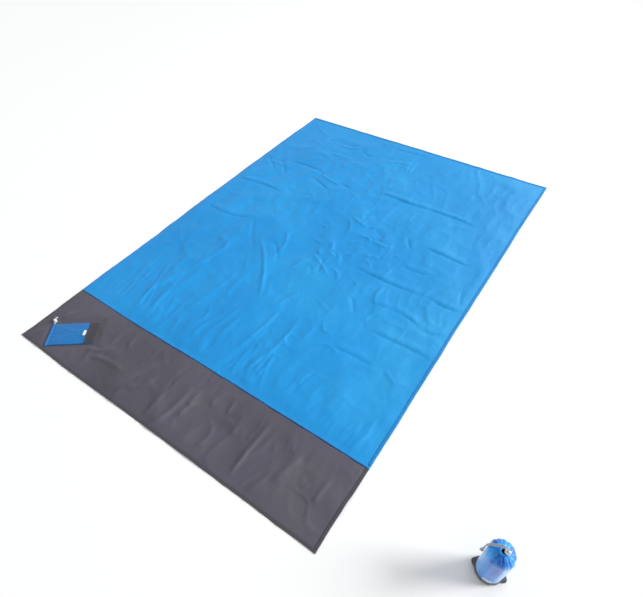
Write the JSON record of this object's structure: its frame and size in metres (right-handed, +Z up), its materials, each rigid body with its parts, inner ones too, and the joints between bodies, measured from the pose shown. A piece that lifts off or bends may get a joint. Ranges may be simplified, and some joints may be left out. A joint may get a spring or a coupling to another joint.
{
  "type": "camp blanket",
  "caption": "Thin camp blanket laid flat, blue with a grey end band, with a flat drawstring pouch on one corner and a packed drawstring bag beside it.",
  "frame": {"origin": "middle of the blanket's underside, on the ground", "axes": "+Z up, Y along the blanket's length with the grey end band at -Y, X across its width; the packed bag stands past the +X edge near the grey end"},
  "size_m": [1.849, 2, 0.2058],
  "materials": {
    "blue_cloth": "thin coated plain-weave nylon, sky blue, with a soft sheen",
    "grey_cloth": "thin coated plain-weave nylon, charcoal grey, with a soft sheen",
    "hem_cloth": "the blue cloth folded and lockstitched",
    "grey_hem_cloth": "the grey cloth folded and lockstitched",
    "white_label": "printed satin tape, white",
    "grey_cord": "braided polyester cord",
    "pale_plastic": "moulded nylon, off-white, fine satin",
    "spring_steel": "drawn wire"
  },
  "bodies": {
    "blanket": {"main_panel": "blue_cloth", "join_seam": "hem_cloth", "head_hem": "hem_cloth", "left_hem": "hem_cloth", "right_hem": "hem_cloth"},
    "band": {"end_band": "grey_cloth", "foot_hem": "grey_hem_cloth", "band_left_hem": "grey_hem_cloth", "band_right_hem": "grey_hem_cloth", "pouch_back": "blue_cloth", "pouch_front": "blue_cloth", "pouch_base": "grey_cloth", "pouch_bottom_seam": "grey_hem_cloth", "pouch_side_seam": "hem_cloth", "pouch_channel": "hem_cloth", "pouch_label": "white_label", "pouch_cord": "grey_cord", "pouch_knot": "grey_cord"},
    "pouch_lock": {"pouch_lock_barrel": "pale_plastic", "pouch_lock_spring": "spring_steel"},
    "pouch_button": {"pouch_lock_button": "pale_plastic"},
    "bag": {"bag_shell": "blue_cloth", "bag_base": "grey_cloth", "bag_bottom_seam": "grey_hem_cloth", "bag_side_seam": "hem_cloth", "bag_channel": "hem_cloth", "bag_label": "white_label", "packed_roll": "blue_cloth", "drawstring": "grey_cord", "drawstring_knot": "grey_cord"},
    "bag_lock": {"bag_lock_barrel": "pale_plastic", "bag_lock_spring": "spring_steel"},
    "bag_button": {"bag_lock_button": "pale_plastic"}
  },
  "joints": [
    {"name": "band_fold", "type": "hinge", "parent": "blanket", "child": "band", "pos_m": [0, -0.716, 0.0025], "axis": [-1, 0, 0], "range_deg": [0, 172]},
    {"name": "bag_lift", "type": "slide", "parent": "blanket", "child": "bag", "axis": [0, 0, 1], "range_m": [0, 0.3]},
    {"name": "bag_lock_slide", "type": "slide", "parent": "bag", "child": "bag_lock", "axis": [0, 0, 1], "range_m": [0, 0.004]},
    {"name": "bag_button_press", "type": "slide", "parent": "bag_lock", "child": "bag_button", "axis": [1, 0, 0], "range_m": [0, 0.002], "stiffness_N_per_m": 300, "springref_m": -0.002, "deforming": ["bag_lock_spring"]},
    {"name": "pouch_lock_slide", "type": "slide", "parent": "band", "child": "pouch_lock", "axis": [-0.5878, 0.809, 0], "range_m": [0, 0.004]},
    {"name": "pouch_button_press", "type": "slide", "parent": "pouch_lock", "child": "pouch_button", "axis": [0, 0, -1], "range_m": [0, 0.002], "stiffness_N_per_m": 300, "springref_m": -0.002, "deforming": ["pouch_lock_spring"]}
  ]
}
